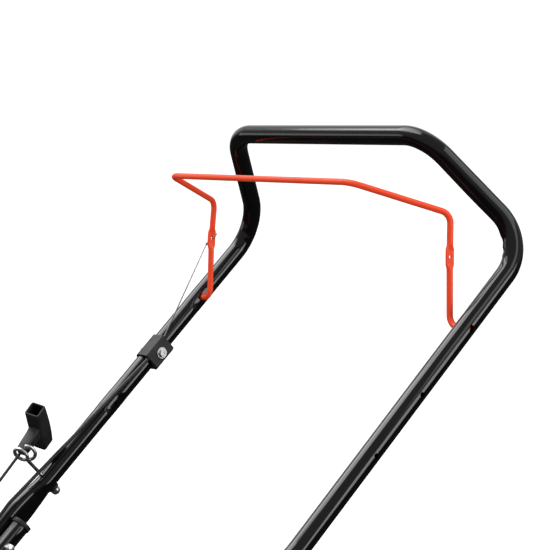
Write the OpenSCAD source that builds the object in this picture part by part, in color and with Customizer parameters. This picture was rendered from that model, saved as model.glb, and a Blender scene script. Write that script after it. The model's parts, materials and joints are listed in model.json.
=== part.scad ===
// Petrol reel mower: a reel and bedknife between two side plates, a rear drive drum, a front roller,
// a recoil-start engine on a deck, and a folding tube handle with a bail, its cable and the starter grip.
// Origin on the ground under the middle of the mower. The front faces -Y, the operator stands at +Y.

/* [Handle] */
// Height of the two leg bends, at the corner of the centrelines
bend_z = 920; // [880:1:960]
// Distance of the leg bends behind the origin
bend_y = 595; // [590:1:600]
// Half the distance between the two upper legs, centre to centre
leg_x = 282.2; // [281:0.1:284]
// Slope of the legs above the ground, in degrees
leg_slope = 43.47; // [42:0.01:45]
// Outer radius of the handle tube
tube_r = 12.5; // [12:0.1:12.7]
// Wall of the handle tube
tube_wall = 1.5; // [1.2:0.1:2]
// Half the length of the crossbar, to the corners of its centreline
grip_x = 199.8; // [190:0.1:210]
// How far the crossbar lies in front of the leg bends
grip_forward = 98.9; // [90:0.1:105]
// How far the crossbar lies above the leg bends
grip_rise = 132.6; // [125:0.1:140]
// Centreline radius of the handle's bends
handle_bend_r = 60; // [50:1:64]
// Length of the upper leg below its bend
upper_leg = 650; // [645:1:655]
// Place of the fold pivot below the leg bend
fold_s = 600; // [598:1:602]
// Place of the lock bolt below the leg bend
lock_s = 634; // [632:1:636]
// Half the distance between the two lower handle tubes
lower_x = 258; // [257.6:0.1:258.2]

/* [Bail] */
// Radius of the bail rod
bail_r = 4; // [3.5:0.1:4.5]
// Place of the bail pivot below the leg bend
bail_pivot_s = 142.2; // [140:0.1:145]

/* [Chassis] */
// Thickness of a side plate
plate_t = 4; // [3:0.5:4]
// Radius of the reel to its cutting edges
reel_r = 64.5; // [64:0.1:64.6]
// Number of reel blades
blade_count = 6; // [5:1:8]
// Helix of one blade over its length, in degrees
blade_twist = 66; // [40:1:80]
// Radius of the rear drum
drum_r = 95; // [94:0.5:96]
// Radius of the front roller
roller_r = 30; // [29:0.5:31]

/* [Engine] */
// Half the width of a cylinder fin
fin_half = 52; // [48:1:52]
// Number of cylinder fins
fin_count = 8; // [6:1:8]

/* [Hidden] */
$fn = 48;

paint = [0.85, 0.22, 0.10];
black = [0.06, 0.06, 0.07];
steel = [0.62, 0.63, 0.65];
alloy = [0.72, 0.73, 0.74];
plastic = [0.10, 0.10, 0.11];

// Clearances: a loose hole, a running shaft, a fixed shaft
loose = 0.3;
running = 0.05;
fixed_fit = 0.02;
// A cut that runs past a face
past = 1;
// How far a rod's straight reaches into its bend, and how much thicker the bend is
seam_lap = 0.8;
seam_r = 0.06;

// Side plates
plate_out = lower_x - tube_r;
plate_in = plate_out - plate_t;
hole_r = 4.2;
bolt_r = 4;

// Shaft centres as [y, z]
reel_at = [-365, 92];
drum_at = [-120, drum_r];
roller_at = [-520, roller_r];
counter_at = [-330, 255];
crank_at = [-170, 312];
tie_at = [-572, 152];
bed_at = [-297, 42];

reel_shaft_r = 10;
drum_axle_r = 12;
roller_axle_r = 8;
counter_r = 8;
crank_r = 9.5;
reel_half = 226;
drum_half = 225;

// Chain drive: half-inch-class sprockets, by teeth
chain_pitch = 9.525;
counter_teeth = 12;
reel_teeth = 18;
drum_teeth = 36;
reel_chain_x = 269;
drum_chain_x = 281;
chain_t = 5;

// Belt drive
belt_x = 170;
belt_w = 8;
belt_t = 7;
small_pulley_r = 22;
large_pulley_r = 48;

// Deck and engine
deck_z = 209;
deck_t = 4;
deck_front = -285;
deck_rear = -30;
engine_x = 62.5;
case_half = 62.5;
cylinder_tilt = 60;
case_reach = 70;

// Places along the right leg, below the bend
clip_s = 249;
spare_s = 345;
guide_s = 488;
loop_n = 58;
clip_bolt_r = 3;
left_hole_r = 3.25;
right_hole_r = 2.75;

function unit(v) = v / norm(v);

// A point s up the leg line from the bend and n out of its upper face
function on_leg(x, s, n = 0) = [
    x,
    bend_y + s * cos(leg_slope) - n * sin(leg_slope),
    bend_z + s * sin(leg_slope) + n * cos(leg_slope)];

// Points of the arc that rounds corner b of a path a-b-c, in the plane
function corner(a, b, c, r, steps = 6) =
    let (u = unit(a - b), v = unit(c - b), half = acos(u * v) / 2,
        centre = b + unit(u + v) * r / sin(half),
        from = b + u * r / tan(half) - centre,
        to = b + v * r / tan(half) - centre,
        start = atan2(from.y, from.x),
        sweep = (atan2(to.y, to.x) - start + 540) % 360 - 180)
    [for (i = [0:steps]) centre + r * [cos(start + sweep * i / steps), sin(start + sweep * i / steps)]];

// An outline whose corners are [y, z, radius]
function rounded(corners) =
    let (count = len(corners))
    [for (i = [0:count - 1])
        let (a = corners[(i + count - 1) % count], b = corners[i], c = corners[(i + 1) % count])
        each corner([a.x, a.y], [b.x, b.y], [c.x, c.y], b.z)];

// The loop that a belt makes round two circles
function belt_loop(c1, r1, c2, r2, steps = 16) =
    let (along = atan2(c2.y - c1.y, c2.x - c1.x), spread = acos((r1 - r2) / norm(c2 - c1)))
    concat(
        [for (i = [0:steps]) let (a = along + spread + (360 - 2 * spread) * i / steps)
            c1 + r1 * [cos(a), sin(a)]],
        [for (i = [0:steps]) let (a = along - spread + 2 * spread * i / steps)
            c2 + r2 * [cos(a), sin(a)]]);

function sprocket_r(teeth) = chain_pitch / 2 / sin(180 / teeth);

// Outline of a sprocket: four points a tooth
function sprocket_outline(teeth) =
    let (root = sprocket_r(teeth) - 3, tip = sprocket_r(teeth) + 3, step = 360 / teeth)
    [for (i = [0:teeth - 1]) each [
        root * [cos(i * step), sin(i * step)],
        root * [cos((i + 0.25) * step), sin((i + 0.25) * step)],
        tip * [cos((i + 0.5) * step), sin((i + 0.5) * step)],
        tip * [cos((i + 0.72) * step), sin((i + 0.72) * step)]]];

// An outline in [y, z] pushed from x0 to x1
module across(x0, x1) {
    translate([x0, 0, 0]) rotate([90, 0, 90]) linear_extrude(x1 - x0) children();
}

// A round bar along X from x0 to x1 at centre [y, z]
module bar_x(x0, x1, r, at) {
    translate([x0, at.x, at.y]) rotate([0, 90, 0]) cylinder(h = x1 - x0, r = r);
}

// A six-sided bar along X
module hex_x(x0, x1, r, at) {
    translate([x0, at.x, at.y]) rotate([0, 90, 0]) cylinder(h = x1 - x0, r = r, $fn = 6);
}

// A profile of [radius, x] points turned about the X axis at centre [y, z]
module turned_x(profile, at) {
    translate([0, at.x, at.y]) rotate([0, 90, 0]) rotate_extrude() polygon(profile);
}

// The same thing on both sides of the mower
module both_sides() {
    children();
    mirror([1, 0, 0]) children();
}

module rod(a, b, r) {
    d = b - a;
    translate(a) rotate([0, acos(d.z / norm(d)), atan2(d.y, d.x)]) cylinder(h = norm(d), r = r);
}

// A rod that follows points, with an arc of radius bends[i] at each inner point.
// The arcs are a hair thicker than the straights, whose ends lie inside them.
module bent_rod(points, bends, r) {
    last = len(points) - 1;
    dirs = [for (i = [0:last - 1]) unit(points[i + 1] - points[i])];
    cuts = [for (i = [0:last]) (i == 0 || i == last) ? 0
        : bends[i - 1] * tan(acos(dirs[i - 1] * dirs[i]) / 2) - seam_lap];
    for (i = [0:last - 1]) rod(points[i] + dirs[i] * cuts[i], points[i + 1] - dirs[i] * cuts[i + 1], r);
    for (i = [1:last - 1]) {
        d = dirs[i - 1];
        inward = unit(dirs[i] - d * (d * dirs[i]));
        centre = points[i] - d * (cuts[i] + seam_lap) + inward * bends[i - 1];
        axis = cross(-inward, d);
        multmatrix([
            [-inward.x, d.x, axis.x, centre.x],
            [-inward.y, d.y, axis.y, centre.y],
            [-inward.z, d.z, axis.z, centre.z],
            [0, 0, 0, 1]])
            rotate_extrude(angle = acos(d * dirs[i])) translate([bends[i - 1], 0]) circle(r = r + seam_r);
    }
}

// Local frame on a leg: +Z up the leg, -Y out of its upper face
module at_leg(x, s) {
    translate(on_leg(x, s)) rotate([leg_slope - 90, 0, 0]) children();
}

// Local frame of the cylinder: +Z from the crankshaft towards the head
module at_cylinder() {
    translate([engine_x, crank_at.x, crank_at.y]) rotate([cylinder_tilt, 0, 0]) children();
}

// A block whose four upright corners are rounded
module rounded_block(size, r) {
    linear_extrude(size.z) polygon(rounded([
        [-size.x / 2, -size.y / 2, r], [size.x / 2, -size.y / 2, r],
        [size.x / 2, size.y / 2, r], [-size.x / 2, size.y / 2, r]]));
}

// ---------- chassis ----------

side_outline = [[-588.5, 126, 14], [-588.5, 182, 16], [-470, 224, 40], [-385, 238, 20], [-362, 296, 20],
    [-298, 296, 20], [-272, 246, 20], [-150, 246, 40], [-104, 326, 18], [-40, 326, 18], [-18, 250, 40],
    [-18, 72, 30], [-62, 44, 20], [-240, 44, 10], [-262, 27, 8], [-400, 27, 20], [-440, 72, 20],
    [-560, 84, 30]];

// Bolts through each side plate: [y, z, inner end, outer seat]
handle_bolt_s = [905, 968];
frame_bolt_list = concat(
    [for (s = handle_bolt_s) let (p = on_leg(0, -s)) [p.y, p.z, plate_in - 7, lower_x + tube_r]],
    [[tie_at.x, tie_at.y, plate_in - 24, plate_out],
        [bed_at.x, bed_at.y, plate_in - 22, plate_out],
        [-250, 192, plate_in - 11, plate_out],
        [-70, 192, plate_in - 11, plate_out],
        [-270, 128, plate_in - 11, plate_out]]);

module frame_bolt_holes(r) {
    both_sides() for (b = frame_bolt_list) bar_x(b[2] - past, b[3] + past, r, [b[0], b[1]]);
}

module side_plate() {
    difference() {
        union() {
            across(plate_in, plate_out) polygon(rounded(side_outline));
            // Pin that a grass box hooks on
            bar_x(plate_out - past, plate_out + 16, 5, [-556, 158]);
        }
        frame_bolt_holes(hole_r);
        bar_x(plate_in - past, plate_out + past, reel_shaft_r + 4, reel_at);
        bar_x(plate_in - past, plate_out + past, drum_axle_r + 4, drum_at);
        bar_x(plate_in - past, plate_out + past, hole_r, [roller_at.x, height_bolt_z]);
        children();
    }
}

module side_plate_left() {
    color(paint) side_plate() bar_x(plate_in - past, plate_out + past, 18.5, counter_at);
}

module side_plate_right() {
    color(paint) mirror([1, 0, 0]) side_plate();
}

module engine_deck() {
    flange = 36;
    color(black) difference() {
        union() {
            translate([-plate_in, deck_front, deck_z - deck_t])
                cube([2 * plate_in, deck_rear - deck_front, deck_t]);
            both_sides() translate([plate_in - deck_t, deck_front, deck_z - flange])
                cube([deck_t, deck_rear - deck_front, flange]);
        }
        frame_bolt_holes(hole_r);
        for (x = [18, 107], y = [-240, -100])
            translate([x, y, deck_z - deck_t - past]) cylinder(h = deck_t + 2 * past, r = hole_r);
    }
}

module front_tie_bar() {
    color(black) difference() {
        bar_x(-plate_in, plate_in, 11, tie_at);
        frame_bolt_holes(bolt_r + fixed_fit);
    }
}

module bed_bar() {
    color(paint) difference() {
        translate([-plate_in, bed_at.x - 13, 31]) cube([2 * plate_in, 26, 22]);
        frame_bolt_holes(bolt_r + fixed_fit);
    }
}

module bedknife() {
    edge_y = reel_at.x + 22.2;
    color(steel) difference() {
        across(-reel_half, reel_half)
            polygon([[edge_y, 31], [bed_at.x + 10, 31], [bed_at.x + 10, 26], [edge_y + 5, 26]]);
        for (x = [-180:90:180]) translate([x, bed_at.x, 25]) cylinder(h = 7, r = 3.2);
    }
}

// The deflector's section: an arc over the back of the reel and a flat top running forward
module deflector_section(inner, sheet, tail) {
    outer = inner + sheet;
    polygon(concat(
        [for (a = [-14:8:90]) reel_at + outer * [cos(a), sin(a)]],
        [reel_at + [-tail, outer], reel_at + [-tail, inner]],
        [for (a = [90:-8:-14]) reel_at + inner * [cos(a), sin(a)]]));
}

module grass_deflector() {
    sheet = 2;
    half = plate_in - 0.5;
    color(paint) difference() {
        union() {
            across(-half, half) deflector_section(82, sheet, 66);
            // End tabs that bolt to the side plates
            both_sides() translate([half - sheet, -291, 108]) cube([sheet, 36, 38]);
        }
        frame_bolt_holes(hole_r);
    }
}

// ---------- lower handle and fold ----------

cap_s = 559;
lower_end_s = 985;

module lower_handle() {
    difference() {
        rod(on_leg(lower_x, -lower_end_s), on_leg(lower_x, -cap_s - 2), tube_r);
        rod(on_leg(lower_x, -lower_end_s - past), on_leg(lower_x, -cap_s), tube_r - tube_wall);
        frame_bolt_holes(hole_r);
        for (s = [fold_s, lock_s]) let (p = on_leg(0, -s))
            bar_x(lower_x - 20, lower_x + 20, bolt_r + fixed_fit, [p.y, p.z]);
    }
}

module lower_handle_left() {
    color(black) lower_handle();
}

module lower_handle_right() {
    color(black) mirror([1, 0, 0]) lower_handle();
}

module handle_end_caps() {
    color(plastic) both_sides() difference() {
        rod(on_leg(lower_x, -cap_s - 6), on_leg(lower_x, -cap_s), tube_r + 1.2);
        rod(on_leg(lower_x, -cap_s - 7), on_leg(lower_x, -cap_s - 2), tube_r + fixed_fit);
    }
}

fold_inner = lower_x - tube_r - 8;
fold_outer = leg_x + tube_r;

// A pivot bolt with a dome head outside and a nut inside, and a lock bolt with its head inside
module fold_bolts() {
    pivot = on_leg(0, -fold_s);
    lock = on_leg(0, -lock_s);
    color(steel) both_sides() {
        bar_x(fold_inner, fold_outer + past, bolt_r, [pivot.y, pivot.z]);
        turned_x([[0, fold_outer + loose], [9, fold_outer + loose], [7, fold_outer + 4],
            [0, fold_outer + 5.5]], [pivot.y, pivot.z]);
        hex_x(lower_x - tube_r - 7, lower_x - tube_r, 7, [pivot.y, pivot.z]);
        bar_x(fold_inner, fold_outer + 12, bolt_r, [lock.y, lock.z]);
        hex_x(fold_inner, lower_x - tube_r, 7, [lock.y, lock.z]);
    }
}

// Two-winged knobs that clamp the handle
module lock_knobs() {
    lock = on_leg(0, -lock_s);
    seat = fold_outer + loose;
    color(plastic) both_sides() difference() {
        union() {
            bar_x(seat, seat + 18, 10, [lock.y, lock.z]);
            translate([seat + 6, lock.y, lock.z]) rotate([leg_slope, 0, 0]) translate([0, -24, -4])
                cube([20, 48, 8]);
        }
        bar_x(seat - past, seat + 14, bolt_r + fixed_fit, [lock.y, lock.z]);
    }
}

// Hex-head bolts through the side plates, with a nut where the far end is free
module frame_bolts() {
    color(steel) both_sides() for (i = [0:len(frame_bolt_list) - 1]) {
        b = frame_bolt_list[i];
        at = [b[0], b[1]];
        bar_x(b[2], b[3] + past, bolt_r, at);
        hex_x(b[3], b[3] + 5.3, 7, at);
        if (i < 2) hex_x(plate_in - 6.5, plate_in, 7, at);
        if (i > 3 && i < 6) hex_x(plate_in - deck_t - 6.5, plate_in - deck_t, 7, at);
        if (i == 6) hex_x(plate_in - 9, plate_in - 2.5, 7, at);
    }
}

// ---------- bearings ----------

// A flanged housing outside the plate and the bearing ring inside it
module flange_bearing(at, shaft_r, ring_r, deep) {
    difference() {
        union() {
            bar_x(plate_out, plate_out + 5, ring_r + 14, at);
            bar_x(plate_out, plate_out + deep, ring_r + 5, at);
        }
        bar_x(plate_out - past, plate_out + deep + past, ring_r, at);
    }
    difference() {
        bar_x(plate_out + 1, plate_out + deep - 1, ring_r - fixed_fit, at);
        bar_x(plate_out, plate_out + deep, shaft_r + running, at);
    }
}

module reel_bearings() {
    color(alloy) both_sides() flange_bearing(reel_at, reel_shaft_r, 18, 15);
}

module drum_bearings() {
    color(alloy) both_sides() flange_bearing(drum_at, drum_axle_r, 21, 15);
}

module countershaft_bearing() {
    color(alloy) difference() {
        union() {
            bar_x(plate_in - 48, plate_out + 14, 18, counter_at);
            bar_x(plate_out, plate_out + 5, 30, counter_at);
        }
        bar_x(plate_in - 50, plate_out + 16, counter_r + running, counter_at);
    }
}

// ---------- drive ----------

cover_outline = [[-432, 92, 48], [-392, 36, 44], [-160, 20, 50], [-66, 22, 50], [-40, 100, 50],
    [-90, 178, 60], [-250, 262, 60], [-306, 316, 36], [-366, 300, 36]];
cover_inner = [for (c = cover_outline) let (m = [-240, 130], d = [c.x, c.y] - m)
    concat([for (k = [0, 1]) m[k] + d[k] * (1 - 3.4 / norm(d))], [c.z - 3])];

module chain_cover() {
    color(black) difference() {
        across(plate_out, 298) polygon(rounded(cover_outline));
        across(plate_out - past, 295.5) polygon(rounded(cover_inner));
    }
}

module loop_band(x, width, c1, r1, c2, r2, thick) {
    across(x - width / 2, x + width / 2) difference() {
        polygon(belt_loop(c1, r1 + thick, c2, r2 + thick));
        polygon(belt_loop(c1, r1, c2, r2));
    }
}

module reel_chain() {
    color(steel) loop_band(reel_chain_x, chain_t, counter_at, sprocket_r(counter_teeth) + 3.5,
        reel_at, sprocket_r(reel_teeth) + 3.5, 4);
}

module drum_chain() {
    color(steel) loop_band(drum_chain_x, chain_t, counter_at, sprocket_r(counter_teeth) + 3.5,
        drum_at, sprocket_r(drum_teeth) + 3.5, 4);
}

module drive_belt() {
    color(plastic) loop_band(belt_x, belt_w, crank_at, small_pulley_r, counter_at, large_pulley_r, belt_t);
}

module sprocket(x, at, teeth, bore_r) {
    translate([x - 2, at.x, at.y]) rotate([90, 0, 90]) linear_extrude(4) difference() {
        polygon(sprocket_outline(teeth));
        circle(r = bore_r);
    }
}

// Grooved pulley: belt_r is the radius under the belt
module v_pulley(belt_r, bore_r, at) {
    rim = belt_r + belt_t + 2;
    turned_x([[bore_r, belt_x - 11], [rim, belt_x - 11], [rim, belt_x - 8], [belt_r - 1, belt_x - 5],
        [belt_r - 1, belt_x + 5], [rim, belt_x + 8], [rim, belt_x + 11], [bore_r, belt_x + 11]], at);
}

module countershaft() {
    color(steel) {
        bar_x(belt_x - 13, 289, counter_r, counter_at);
        sprocket(reel_chain_x, counter_at, counter_teeth, counter_r + fixed_fit);
        sprocket(drum_chain_x, counter_at, counter_teeth, counter_r + fixed_fit);
    }
    color(steel) v_pulley(large_pulley_r, counter_r + fixed_fit, counter_at);
}

// Cup that the clutch shoes grip, with the belt pulley on its neck
module clutch_drum() {
    cup = 41;
    color(steel) difference() {
        union() {
            bar_x(131, 156, cup, crank_at);
            bar_x(155, 160, 16, crank_at);
            v_pulley(small_pulley_r, crank_r + running, crank_at);
        }
        bar_x(130, 153, cup - 3, crank_at);
        bar_x(130, 190, crank_r + running, crank_at);
    }
}

// ---------- engine ----------

module crankcase() {
    tilt = [-sin(cylinder_tilt), cos(cylinder_tilt)];
    side = [cos(cylinder_tilt), sin(cylinder_tilt)];
    face = crank_at + case_reach * tilt;
    low = face - 50 * side;
    high = face + 50 * side;
    color(alloy) difference() {
        union() {
            across(engine_x - case_half, engine_x + case_half)
                polygon(rounded([[-238, deck_z, 2], [low.x, low.y, 2], [high.x, high.y, 2],
                    [-128, 386, 24], [-100, 340, 24], [-100, deck_z, 2]]));
            translate([0, -258, deck_z]) cube([2 * case_half, 176, 9]);
            bar_x(124, 129, 30, crank_at);
        }
        bar_x(-past, 131, crank_r + running, crank_at);
        for (x = [18, 107], y = [-240, -100])
            translate([x, y, deck_z - past]) cylinder(h = 14, r = hole_r);
        // Filler hole
        translate([engine_x, -112, 262]) rotate([-60, 0, 0]) cylinder(h = 40, r = 8);
    }
}

module fin(z) {
    translate([0, 0, z]) rounded_block([2 * fin_half, 2 * fin_half, 2.6], 16);
}

module cylinder_barrel() {
    union() {
        translate([0, 0, case_reach]) cylinder(h = 84, r = 39);
        for (i = [0:fin_count - 1]) fin(case_reach + 6 + i * 9);
        // Cylinder head
        translate([0, 0, case_reach + 80]) rounded_block([2 * fin_half, 2 * fin_half, 12], 16);
    }
}

head_z = case_reach + 92;

module rocker_cover() {
    color(black) at_cylinder() translate([0, 14, head_z]) {
        rounded_block([86, 66, 5], 10);
        translate([0, 0, 5]) rounded_block([78, 58, 20], 14);
    }
}

module spark_plug() {
    color(plastic) at_cylinder() {
        translate([0, -36, head_z]) cylinder(h = 9, r = 9, $fn = 6);
        translate([0, -36, head_z + 9]) cylinder(h = 6, r = 5);
        translate([0, -36, head_z + 15]) cylinder(h = 26, r = 9.5);
        // Lead back to the coil under the shroud
        bent_rod([[0, -36, head_z + 40], [0, -36, head_z + 56], [-40, -62, head_z + 30],
            [-86, -62, 82]], [8, 24], 3.4);
    }
}

module fuel_tank() {
    size = [186, 150, 58];
    color(black) difference() {
        union() {
            translate([18, -170, 418]) rounded_block(size, 26);
            translate([18, -170, 418 + size.z]) rounded_block([size.x - 16, size.y - 16, 4], 20);
            // Neck and the two feet down to the crankcase
            translate([10, -150, 470]) cylinder(h = 16, r = 18);
            for (x = [20, 100]) translate([x, -160, 388]) cube([8, 18, 32]);
        }
        translate([18, -170, 421]) rounded_block([size.x - 6, size.y - 6, size.z - 6], 24);
        translate([10, -150, 470]) cylinder(h = 20, r = 15);
    }
}

module fuel_cap() {
    color(plastic) difference() {
        translate([10, -150, 483.3]) cylinder(h = 14, r = 23);
        translate([10, -150, 482]) cylinder(h = 6, r = 18 + loose);
        for (a = [0:30:330]) translate([10, -150, 481]) rotate([0, 0, a]) translate([24.6, 0, 0])
            cylinder(h = 18, r = 2.4);
    }
}

module air_filter() {
    color(plastic) difference() {
        across(-96, -32) polygon(rounded([[-378, 352, 16], [-378, 452, 22], [-280, 452, 22],
            [-280, 352, 16]]));
        across(-94, -38) polygon(rounded([[-375, 355, 14], [-375, 449, 20], [-283, 449, 20],
            [-283, 355, 14]]));
        bar_x(-40, -30, 12, [-320, 396]);
    }
}

module carburettor() {
    color(alloy) difference() {
        union() {
            bar_x(-32, 10.5, 17, [-320, 396]);
            translate([-26, -336, 378]) cube([28, 32, 36]);
            translate([-12, -320, 352]) cylinder(h = 30, r = 15);
        }
        bar_x(-33, 12, 10, [-320, 396]);
        translate([-12, -320, 405]) cylinder(h = 12, r = 2 + running);
    }
}

module choke_lever() {
    color(black) translate([-12, -320, 0]) {
        translate([0, 0, 409]) cylinder(h = 8, r = 2);
        translate([0, 0, 414.4]) linear_extrude(2.4) difference() {
            union() {
                circle(r = 5);
                polygon(rounded([[-4, 0, 1], [-4, -34, 2.5], [4, -34, 2.5], [4, 0, 1]]));
            }
            circle(r = 1.2);
        }
    }
}

module muffler() {
    color(steel) {
        across(118, 148) polygon(rounded([[-366, 338, 18], [-366, 420, 18], [-252, 420, 18],
            [-252, 338, 18]]));
        bar_x(114.5, 118, 14, [-310, 396]);
        rod([133, -340, 344], [133, -356, 322], 8);
    }
}

module muffler_guard() {
    color(black) difference() {
        across(118, 153) polygon(rounded([[-371, 345, 18], [-371, 426, 20], [-247, 426, 20],
            [-247, 345, 18]]));
        across(110, 151) polygon(rounded([[-369.4, 330, 16], [-369.4, 424.4, 19],
            [-248.6, 424.4, 19], [-248.6, 330, 16]]));
        across(110, 160) translate([-380, 330]) square([140, 22]);
        for (y = [-350:20:-270]) across(150, 154)
            polygon(rounded([[y - 5, 362, 4], [y - 5, 412, 4], [y + 5, 412, 4], [y + 5, 362, 4]]));
    }
}

// ---------- starter side ----------

shroud_r = 98;
shroud_out = -95;
recoil_out = -136;
spool_x = -118;

module flywheel_shroud() {
    color(black) difference() {
        union() {
            bar_x(shroud_out, -0.3, shroud_r, crank_at);
            // Duct towards the cylinder fins
            across(-60, -0.3) polygon(rounded([[-262, 300, 12], [-274, 366, 12], [-232, 416, 20],
                [-180, 408, 12]]));
            // Tab for the brake lever and the end of the cable
            across(-52, -48) polygon(rounded([[-112, 385, 3], [-92, 416.5, 5], [-66, 408, 5],
                [-88, 358, 3]]));
        }
        bar_x(shroud_out + 2, 1, shroud_r - 2, crank_at);
        bar_x(shroud_out - past, shroud_out + 3, 62, crank_at);
        across(-58, 1) polygon(rounded([[-260, 305, 10], [-271, 364, 10], [-232, 413, 18],
            [-184, 404, 10]]));
        bar_x(-53, -47, 2.5 + running, brake_at);
    }
}

brake_at = [-86, 404];

module brake_lever() {
    color(steel) {
        bar_x(-56, -42, 2.5, brake_at);
        across(-47.7, -45.2) polygon(rounded([[brake_at.x - 6, brake_at.y - 6, 3],
            [brake_at.x - 3, brake_at.y + 30, 3], [brake_at.x + 3, brake_at.y + 30, 3],
            [brake_at.x + 6, brake_at.y - 6, 3]]));
    }
}

// Rope line from the recoil spool up to the guide loop
rope_from = [spool_x, -150, 379];
rope_to = on_leg(-leg_x, -guide_s, loop_n);
rope_dir = unit(rope_to - rope_from);
rope_r = 2;

module recoil_housing() {
    wall = 2.5;
    color(plastic) difference() {
        union() {
            turned_x([[0, recoil_out], [58, recoil_out], [76, recoil_out + 18], [78, shroud_out - 3],
                [86, shroud_out - 3], [86, shroud_out], [0, shroud_out]], crank_at);
            // Spout for the rope
            rod(rope_from + rope_dir * 4, rope_from + rope_dir * 26, 8);
        }
        turned_x([[0, recoil_out + wall], [57, recoil_out + wall], [73.5, recoil_out + 19],
            [75.5, shroud_out + past], [0, shroud_out + past]], crank_at);
        rod(rope_from - rope_dir * 20, rope_from + rope_dir * 28, rope_r + 1.6);
        for (a = [0:30:330]) translate([recoil_out - past, crank_at.x, crank_at.y]) rotate([a, 0, 0])
            translate([0, -3, 26]) cube([6, 6, 26]);
    }
    // Post that the rope spool turns on
    color(plastic) difference() {
        bar_x(recoil_out + wall - 0.5, spool_x + 8, 7, crank_at);
        bar_x(spool_x + 2, spool_x + 9, 3, crank_at);
    }
}

module recoil_pulley() {
    color(plastic) turned_x([[7 + running, spool_x - 7], [45, spool_x - 7], [45, spool_x - 5],
        [38, spool_x - 3], [38, spool_x + 3], [45, spool_x + 5], [45, spool_x + 7],
        [7 + running, spool_x + 7]], crank_at);
}

module starter_rope_lower() {
    color(black) rod(rope_from - rope_dir * 6, rope_to - rope_dir * 2, rope_r);
}

module oil_cap() {
    color(plastic) translate([engine_x, -112, 262]) rotate([-60, 0, 0]) {
        translate([0, 0, 22]) cylinder(h = 8, r = 13);
        translate([0, 0, 30]) translate([-11, -3, 0]) cube([22, 6, 8]);
        translate([0, 0, 4]) cylinder(h = 20, r = 8 - running);
    }
}

module crankshaft() {
    color(steel) {
        bar_x(-84, 186, crank_r, crank_at);
        // Clutch hub and shoes
        difference() {
            bar_x(134, 150, 37, crank_at);
            bar_x(133, 151, crank_r + fixed_fit, crank_at);
            for (a = [0, 120, 240]) translate([133, crank_at.x, crank_at.y]) rotate([a, 0, 0])
                translate([0, -2, 14]) cube([18, 4, 30]);
        }
    }
}

module flywheel() {
    color(alloy) difference() {
        union() {
            bar_x(-66, -26, 84, crank_at);
            for (a = [0:30:330]) translate([-80, crank_at.x, crank_at.y]) rotate([a, 0, 0])
                translate([0, -1.5, 34]) cube([16, 3, 44]);
        }
        bar_x(-67, -25, crank_r + fixed_fit, crank_at);
        bar_x(-50, -25, 66, crank_at);
    }
}

// ---------- reel, drum, roller ----------

module reel_shaft() {
    color(steel) {
        bar_x(-plate_out - 13, 276, reel_shaft_r, reel_at);
        sprocket(reel_chain_x, reel_at, reel_teeth, reel_shaft_r + fixed_fit);
    }
}

spider_t = 5;

module reel_spiders() {
    color(paint) for (x = [-218, -109, 0, 109, 218]) difference() {
        bar_x(x - spider_t / 2, x + spider_t / 2, 42, reel_at);
        bar_x(x - spider_t, x + spider_t, reel_shaft_r + fixed_fit, reel_at);
        for (a = [0:360 / blade_count:359]) translate([x - spider_t, reel_at.x, reel_at.y])
            rotate([a, 0, 0]) translate([0, 0, 26]) rotate([0, 90, 0]) cylinder(h = 2 * spider_t, r = 8);
    }
}

module reel_blades() {
    blade_in = 38;
    blade_t = 3.6;
    color(steel) for (a = [0:360 / blade_count:359])
        translate([-reel_half, reel_at.x, reel_at.y]) rotate([0, 90, 0]) rotate([0, 0, a])
            linear_extrude(2 * reel_half, twist = blade_twist, slices = 22, $fn = 4)
                translate([blade_in, 0])
                    square([sqrt(reel_r * reel_r - blade_t * blade_t) - blade_in, blade_t]);
}

module drum_shells() {
    skin = 2.5;
    gap = 2;
    color(black) both_sides() difference() {
        bar_x(gap, drum_half, drum_r, drum_at);
        bar_x(gap + 4, drum_half - 4, drum_r - skin, drum_at);
        bar_x(0, drum_half + past, drum_axle_r + fixed_fit, drum_at);
        for (a = [0:72:288]) translate([0, drum_at.x, drum_at.y]) rotate([a, 0, 0]) translate([0, 0, 58])
            rotate([0, 90, 0]) cylinder(h = drum_half + past, r = 16);
    }
}

module drum_axle() {
    color(steel) {
        bar_x(-plate_out - 13, 288, drum_axle_r, drum_at);
        sprocket(drum_chain_x, drum_at, drum_teeth, drum_axle_r + fixed_fit);
    }
}

module front_roller() {
    color(plastic) for (x = [[-226, -77], [-74, 74], [77, 226]]) turned_x([[roller_axle_r + running, x[0]],
        [roller_r - 2, x[0]], [roller_r, x[0] + 2], [roller_r, x[1] - 2], [roller_r - 2, x[1]],
        [roller_axle_r + running, x[1]]], roller_at);
}

height_bolt_z = 126;
height_travel = 16;

module roller_carrier() {
    inner = plate_in - 6.3;
    outer = plate_in - 0.3;
    color(black) both_sides() difference() {
        across(inner, outer) polygon(rounded([[-536, 14, 14], [-504, 14, 14], [-504, 150, 8],
            [-536, 150, 8]]));
        bar_x(inner - past, outer + past, roller_axle_r + fixed_fit, roller_at);
        across(inner - past, outer + past) {
            translate([-524.4, height_bolt_z - height_travel]) square([8.8, height_travel]);
            translate([-520, height_bolt_z]) circle(r = 4.4);
            translate([-520, height_bolt_z - height_travel]) circle(r = 4.4);
        }
    }
    color(steel) bar_x(-outer, outer, roller_axle_r, roller_at);
}

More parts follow.
